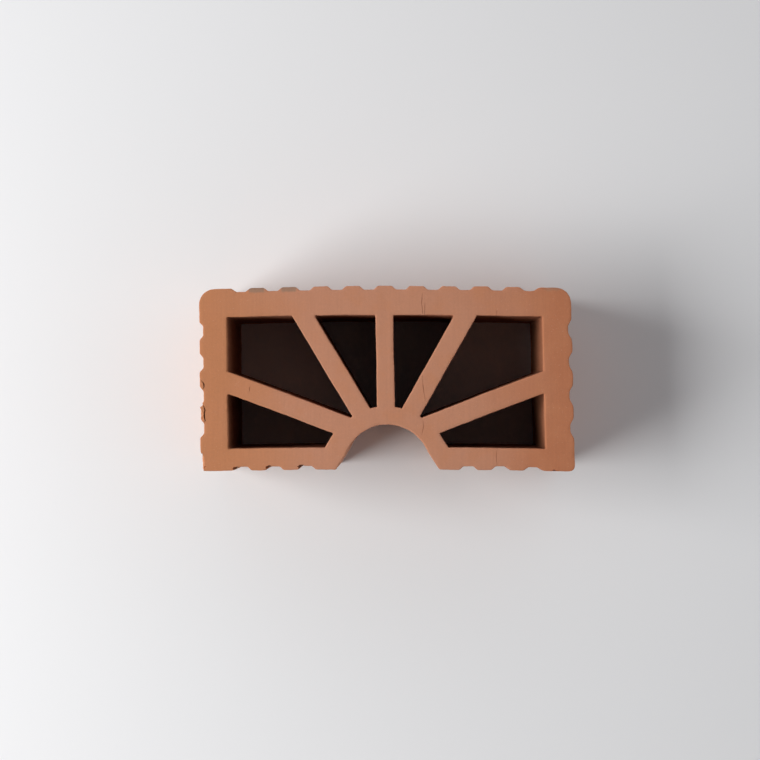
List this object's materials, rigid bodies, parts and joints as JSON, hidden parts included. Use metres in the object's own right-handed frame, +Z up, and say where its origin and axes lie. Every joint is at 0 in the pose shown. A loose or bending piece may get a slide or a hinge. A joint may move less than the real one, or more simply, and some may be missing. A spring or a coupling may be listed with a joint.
{
  "type": "hollow clay brick",
  "caption": "Extruded hollow clay brick with radiating webs around a half-round notch, through cells, and keyed grooves on its sides, laid with its cells upright",
  "frame": {"origin": "middle of the underside, on the ground", "axes": "+X along the length, +Y towards the side without the notch, +Z up along the cells"},
  "size_m": [0.24, 0.117, 0.09],
  "materials": {
    "fired_clay": "matt wire-cut fired clay, terracotta, unglazed"
  },
  "bodies": {
    "root": {"brick": "fired_clay"}
  },
  "joints": []
}
